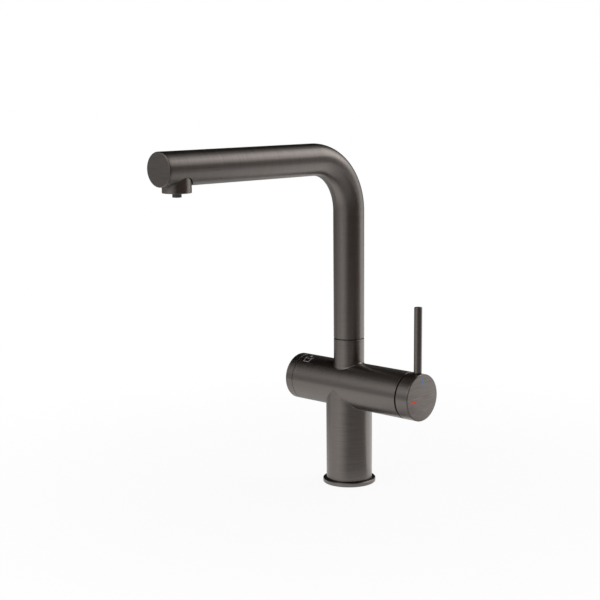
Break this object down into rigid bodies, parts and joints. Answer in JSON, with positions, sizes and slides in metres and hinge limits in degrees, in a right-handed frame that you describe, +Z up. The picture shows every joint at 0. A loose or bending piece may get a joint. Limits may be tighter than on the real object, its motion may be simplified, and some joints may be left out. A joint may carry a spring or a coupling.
{
  "type": "drinking water filter tap",
  "caption": "Kitchen tap for mains and filtered water: swivel L spout with a separate filtered-water nozzle, side lever for hot and cold, and a round knob for filtered water.",
  "frame": {"origin": "middle of the base, on the worktop plane, where the base seal rests", "axes": "+Z up the column and the spout's swivel axis; the spout points to -Y at rest; +X along the barrel towards the lever"},
  "size_m": [0.169, 0.2809, 0.3584],
  "materials": {
    "gunmetal": "fine brushed warm dark gunmetal",
    "brass": "turned",
    "rubber": "matt",
    "black_plastic": "matt moulded",
    "grey_plastic": "satin moulded",
    "white_plastic": "moulded",
    "ceramic": "lapped",
    "screw_steel": "bright",
    "blue_enamel": "enamel",
    "red_enamel": "enamel"
  },
  "bodies": {
    "body": {"main_body": "gunmetal", "base_flange": "gunmetal", "base_seal": "rubber", "shank_ring": "brass", "swivel_ring": "black_plastic", "spout_set_screw": "screw_steel", "filter_riser": "brass", "cartridge_base": "white_plastic", "cartridge_seals": "rubber", "cartridge_fixed_disc": "ceramic", "cartridge_housing": "white_plastic", "cartridge_nut": "brass", "cap_glide_ring": "black_plastic", "filter_valve": "brass", "filter_valve_seal": "rubber", "filter_fixed_disc": "ceramic"},
    "spout": {"spout_tube": "gunmetal", "spout_end_cap": "gunmetal", "spout_spigot": "brass", "spigot_o_rings": "rubber", "spigot_slide_ring": "black_plastic", "outlet_block": "gunmetal", "aerator": "black_plastic", "aerator_seal": "rubber", "filter_nozzle": "grey_plastic", "filter_hose": "white_plastic", "hose_ferrules": "screw_steel", "hose_tail": "brass"},
    "mixer_handle": {"mixer_cap": "gunmetal", "lever_rod": "gunmetal", "handle_adapter": "black_plastic", "cap_set_screw": "screw_steel", "cartridge_spindle": "white_plastic", "cartridge_moving_disc": "ceramic", "cold_mark": "blue_enamel", "hot_mark": "red_enamel"},
    "filter_handle": {"filter_knob": "gunmetal", "knob_adapter": "black_plastic", "knob_set_screw": "screw_steel", "filter_spindle": "brass", "filter_moving_disc": "ceramic"}
  },
  "joints": [
    {"name": "spout_swivel", "type": "hinge", "parent": "body", "child": "spout", "pos_m": [0, 0, 0.155], "axis": [0, 0, 1], "continuous": true},
    {"name": "mixer_turn", "type": "hinge", "parent": "body", "child": "mixer_handle", "pos_m": [0.084, 0, 0.1053], "axis": [1, 0, 0], "range_deg": [0, 105]},
    {"name": "filter_knob_turn", "type": "hinge", "parent": "body", "child": "filter_handle", "pos_m": [-0.0605, 0, 0.1053], "axis": [-1, 0, 0], "range_deg": [0, 90]}
  ]
}
